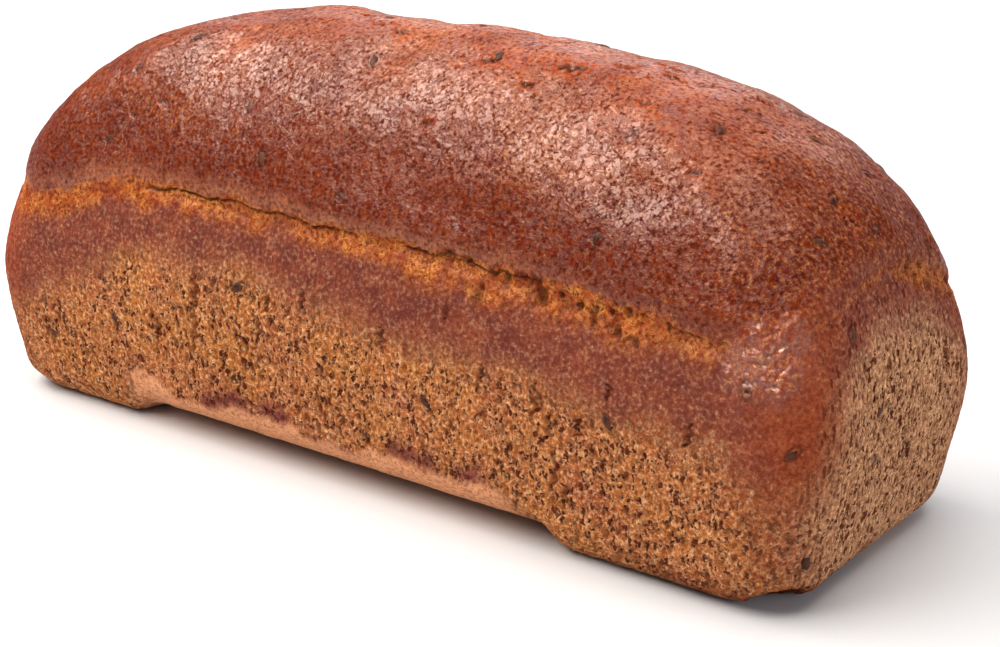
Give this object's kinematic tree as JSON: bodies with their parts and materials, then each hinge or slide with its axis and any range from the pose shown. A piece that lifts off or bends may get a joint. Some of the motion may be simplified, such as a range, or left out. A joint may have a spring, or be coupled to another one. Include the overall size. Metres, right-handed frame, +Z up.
{
  "type": "whole wheat bread loaf",
  "caption": "Uncut whole wheat tin loaf with a domed brown crown, a torn shred line over upright porous walls, and linseeds in its crust.",
  "frame": {"origin": "centre of the base, on the surface that the loaf stands on", "axes": "+X along the loaf, towards the end that is nearer in the picture; -Y is the long side that the picture shows; +Z up"},
  "size_m": [0.3006, 0.1073, 0.129],
  "materials": {
    "crust": "baked bread crust, brown, lightly glossy on the crown and matt on the walls, with dark linseeds"
  },
  "bodies": {
    "root": {"loaf": "crust"}
  },
  "joints": []
}
